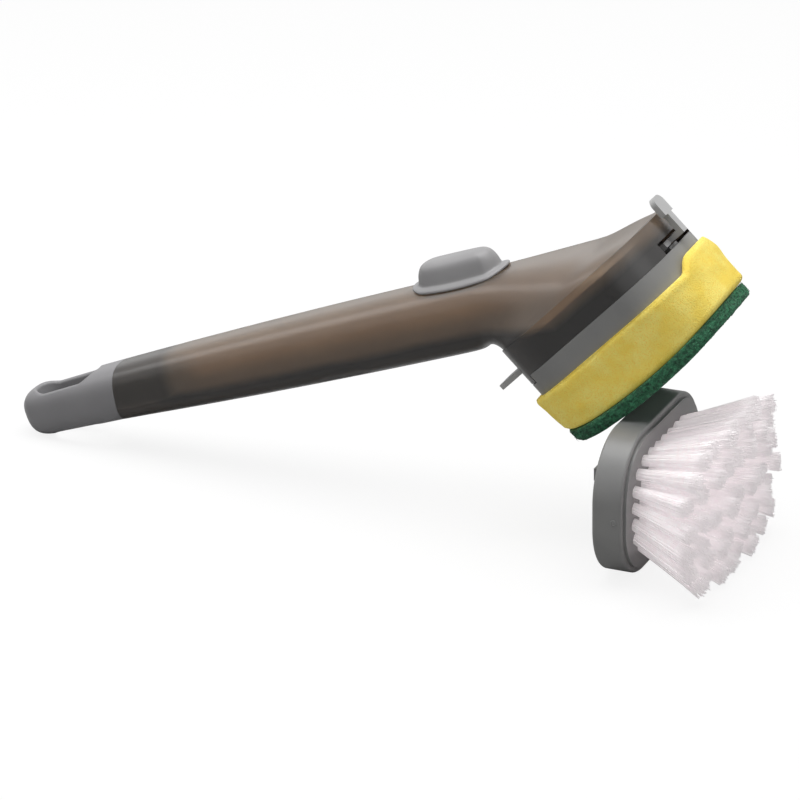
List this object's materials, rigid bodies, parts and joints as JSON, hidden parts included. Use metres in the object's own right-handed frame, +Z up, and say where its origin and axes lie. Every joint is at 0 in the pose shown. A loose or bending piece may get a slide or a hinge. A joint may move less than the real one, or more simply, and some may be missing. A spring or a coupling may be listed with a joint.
{
  "type": "dish wand",
  "caption": "Soap-filled dish wand: translucent flared handle with pump button, tail cap with hang slot and slide-on sponge head, resting on its spare brush head.",
  "frame": {"origin": "middle of the whole part's bounding box, on the table", "axes": "+X from the tail to the head, +Z up, the handle's middle plane lies along X and Z"},
  "size_m": [0.293, 0.0908, 0.1273],
  "materials": {
    "smoke_plastic": "frosted smoke, translucent",
    "grey_plastic": "satin",
    "dark_plastic": "satin",
    "pale_plastic": "satin",
    "silicone": "matt",
    "seal_rubber": "matt",
    "foam": "open cell foam",
    "scour_fibre": "coarse fibre",
    "bristle": "filaments",
    "anchor_wire": "drawn wire"
  },
  "bodies": {
    "handle": {"handle_shell": "smoke_plastic", "pump_grommet": "silicone", "head_base": "dark_plastic", "soap_valve": "seal_rubber", "valve_retainer": "dark_plastic", "nozzle_seal": "seal_rubber"},
    "tail_cap": {"tail_cap": "grey_plastic", "cap_o_ring": "seal_rubber"},
    "pump_button": {"pump_dome": "silicone"},
    "eject_slide": {"eject_slide": "pale_plastic"},
    "sponge_head": {"sponge_plate": "grey_plastic", "sponge_block": "foam", "scour_pad": "scour_fibre"},
    "brush_head": {"brush_plate": "grey_plastic", "tufts_rest": "bristle", "tufts_outer": "bristle", "tufts_middle": "bristle", "tufts_centre": "bristle", "tuft_anchors": "anchor_wire"}
  },
  "joints": [
    {"name": "cap_pull", "type": "slide", "parent": "handle", "child": "tail_cap", "axis": [-0.9373, 0, -0.3486], "range_m": [0, 0.06]},
    {"name": "button_press", "type": "slide", "parent": "handle", "child": "pump_button", "axis": [0.3486, 0, -0.9373], "range_m": [0, 0.004], "stiffness_N_per_m": 800},
    {"name": "eject_push", "type": "slide", "parent": "handle", "child": "eject_slide", "axis": [0.6884, 0, 0.7254], "range_m": [0, 0.005]},
    {"name": "sponge_head_slide", "type": "slide", "parent": "eject_slide", "child": "sponge_head", "axis": [0.6884, 0, 0.7254], "range_m": [0, 0.07]},
    {"name": "brush_head_free", "type": "slide", "parent": "handle", "child": "brush_head", "axis": [0, -1, 0], "range_m": [0, 0.12]}
  ]
}
